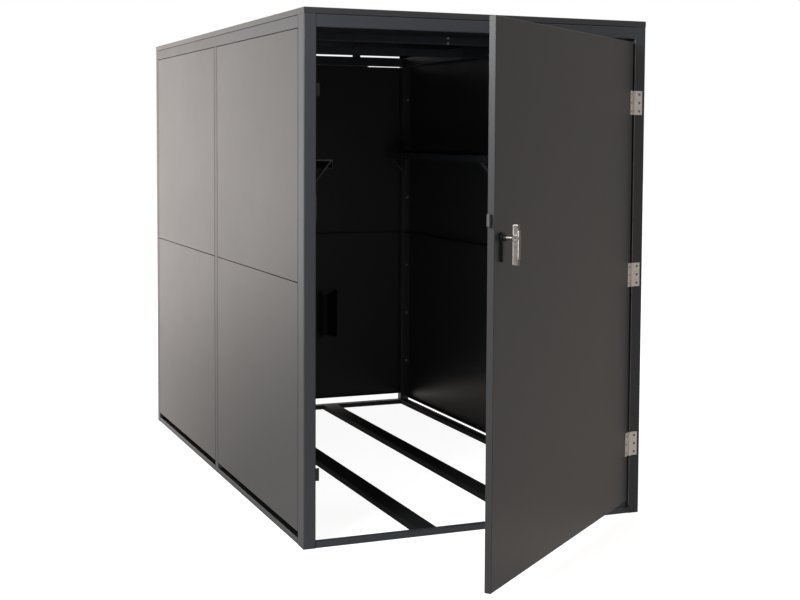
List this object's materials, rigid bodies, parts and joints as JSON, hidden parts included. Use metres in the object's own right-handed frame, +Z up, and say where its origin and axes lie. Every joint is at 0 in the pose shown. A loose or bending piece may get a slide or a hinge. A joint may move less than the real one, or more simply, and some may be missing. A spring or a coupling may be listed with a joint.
{
  "type": "bicycle locker",
  "caption": "Steel locker for a parked bicycle: hollow-section frame, folded panels, roof tray, outward-opening door with latch lock, wheel tracks, wheel holders and wall shelves.",
  "frame": {"origin": "middle of the front sill's underside, on the ground", "axes": "+Z up, +Y from the door to the rear wall, +X towards the hinge side (right as seen from the front)"},
  "size_m": [1.2, 2.8744, 1.67],
  "materials": {
    "frame_coat": "satin anthracite powder coat",
    "panel_coat": "satin anthracite powder coat",
    "door_coat": "satin anthracite powder coat",
    "track_steel": "satin anthracite powder coat, lightly worn",
    "holder_black": "matt black",
    "stainless": "brushed",
    "zinc": "dull",
    "handle_steel": "brushed",
    "black_plastic": "matt"
  },
  "bodies": {
    "frame": {"sill_front": "frame_coat", "base_rail_left": "frame_coat", "base_rail_right": "frame_coat", "base_rail_rear": "frame_coat", "front_post_left": "frame_coat", "mid_post_left": "frame_coat", "rear_post_left": "frame_coat", "front_post_right": "frame_coat", "mid_post_right": "frame_coat", "rear_post_right": "frame_coat", "header_front": "frame_coat", "top_rail_left": "frame_coat", "top_rail_right": "frame_coat", "top_rail_rear": "frame_coat", "roof_beam_front": "frame_coat", "roof_beam_rear": "frame_coat", "roof_spacer_left": "frame_coat", "roof_spacer_right": "frame_coat", "roof_tray": "panel_coat", "rear_panel_lower": "panel_coat", "rear_panel_upper": "panel_coat", "side_panel_left_front_lower": "panel_coat", "side_panel_left_front_upper": "panel_coat", "side_panel_left_rear_lower": "panel_coat", "side_panel_left_rear_upper": "panel_coat", "side_panel_right_front_lower": "panel_coat", "side_panel_right_front_upper": "panel_coat", "side_panel_right_rear_lower": "panel_coat", "side_panel_right_rear_upper": "panel_coat", "wheel_track_left": "track_steel", "wheel_track_right": "track_steel", "wheel_holder_left": "holder_black", "wheel_holder_right": "holder_black", "shelf_left": "frame_coat", "shelf_right": "frame_coat", "shelf_bracket_left_front": "frame_coat", "shelf_bracket_left_mid": "frame_coat", "shelf_bracket_left_rear": "frame_coat", "shelf_bracket_right_front": "frame_coat", "shelf_bracket_right_mid": "frame_coat", "shelf_bracket_right_rear": "frame_coat", "door_stop_lower": "frame_coat", "door_stop_upper": "frame_coat", "strike_plate": "frame_coat", "hinge_post_leaf_lower": "stainless", "hinge_post_leaf_middle": "stainless", "hinge_post_leaf_upper": "stainless"},
    "door": {"door_skin": "door_coat", "door_stiffener_lower": "door_coat", "door_stiffener_middle": "door_coat", "door_stiffener_upper": "door_coat", "lock_case": "zinc", "lock_backplate": "black_plastic", "hinge_door_leaf_lower": "stainless", "hinge_door_leaf_middle": "stainless", "hinge_door_leaf_upper": "stainless"},
    "handle": {"lock_handle": "handle_steel"},
    "latch": {"latch_bolt": "zinc"},
    "key_plug": {"key_cylinder": "handle_steel"}
  },
  "joints": [
    {"name": "door_hinge", "type": "hinge", "parent": "frame", "child": "door", "pos_m": [0.5575, -0.0185, 0.824], "axis": [0, 0, 1], "range_deg": [-40, 130]},
    {"name": "handle_turn", "type": "hinge", "parent": "door", "child": "handle", "pos_m": [-0.26411, -0.70008, 1.009], "axis": [0.6428, -0.766, 0], "range_deg": [0, 90]},
    {"name": "latch_slide", "type": "slide", "parent": "door", "child": "latch", "axis": [0.766, 0.6428, 0], "range_m": [0, 0.012]},
    {"name": "key_turn", "type": "hinge", "parent": "handle", "child": "key_plug", "pos_m": [-0.26411, -0.70008, 1.009], "axis": [0.6428, -0.766, 0], "range_deg": [0, 90]}
  ],
  "couplings": [
    {"joint": "latch_slide", "follows": "handle_turn", "m_per_rad": 0.0076}
  ]
}
